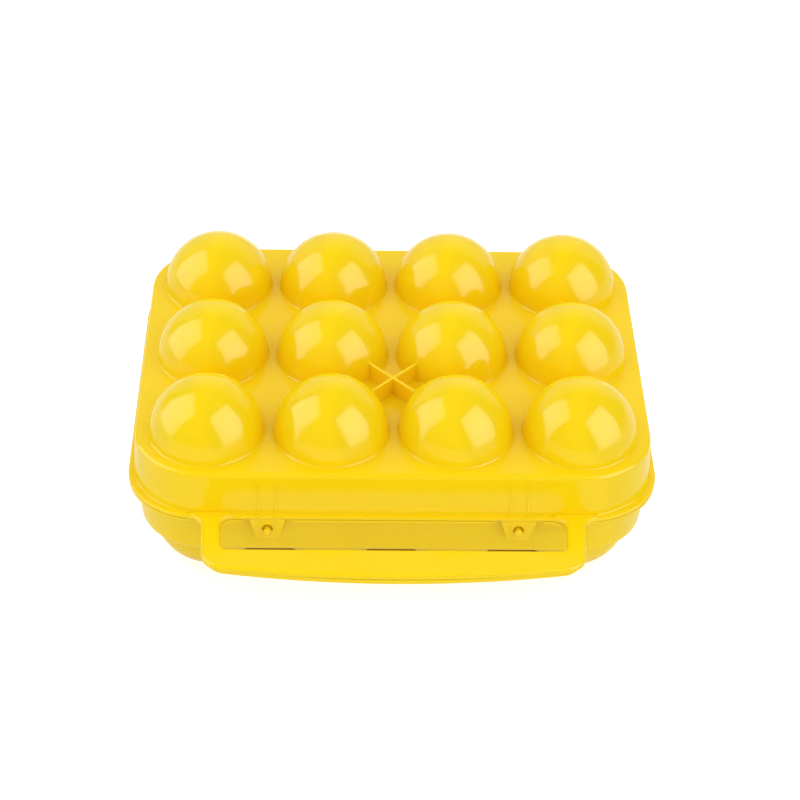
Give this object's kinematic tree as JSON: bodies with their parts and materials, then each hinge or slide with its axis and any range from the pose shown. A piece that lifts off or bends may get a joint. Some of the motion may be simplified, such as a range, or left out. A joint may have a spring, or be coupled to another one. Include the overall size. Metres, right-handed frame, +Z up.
{
  "type": "egg carrier",
  "caption": "Rigid plastic egg carrier: domed lid and matching cupped base, hinged at the back, with a stacked loop handle and two latch tabs in front.",
  "frame": {"origin": "middle of the whole carrier's footprint, on the surface it stands on", "axes": "+X to the right along the handle, +Y from the handle to the hinge, +Z up"},
  "size_m": [0.2142, 0.203, 0.0864],
  "materials": {
    "case_plastic": "glossy moulded polypropylene"
  },
  "bodies": {
    "base": {"base_tray": "case_plastic"},
    "cover": {"lid": "case_plastic"},
    "tab_left": {"latch_tab_left": "case_plastic"},
    "tab_right": {"latch_tab_right": "case_plastic"}
  },
  "joints": [
    {"name": "lid_hinge", "type": "hinge", "parent": "base", "child": "cover", "pos_m": [0, 0.09845, 0.04281], "axis": [-1, 0, 0], "range_deg": [0, 180]},
    {"name": "tab_left_flex", "type": "hinge", "parent": "cover", "child": "tab_left", "pos_m": [-0.05, -0.0674, 0.04296], "axis": [-1, 0, 0], "range_deg": [0, 45], "stiffness_Nm_per_rad": 0.01},
    {"name": "tab_right_flex", "type": "hinge", "parent": "cover", "child": "tab_right", "pos_m": [0.05, -0.0674, 0.04296], "axis": [-1, 0, 0], "range_deg": [0, 45], "stiffness_Nm_per_rad": 0.01}
  ]
}
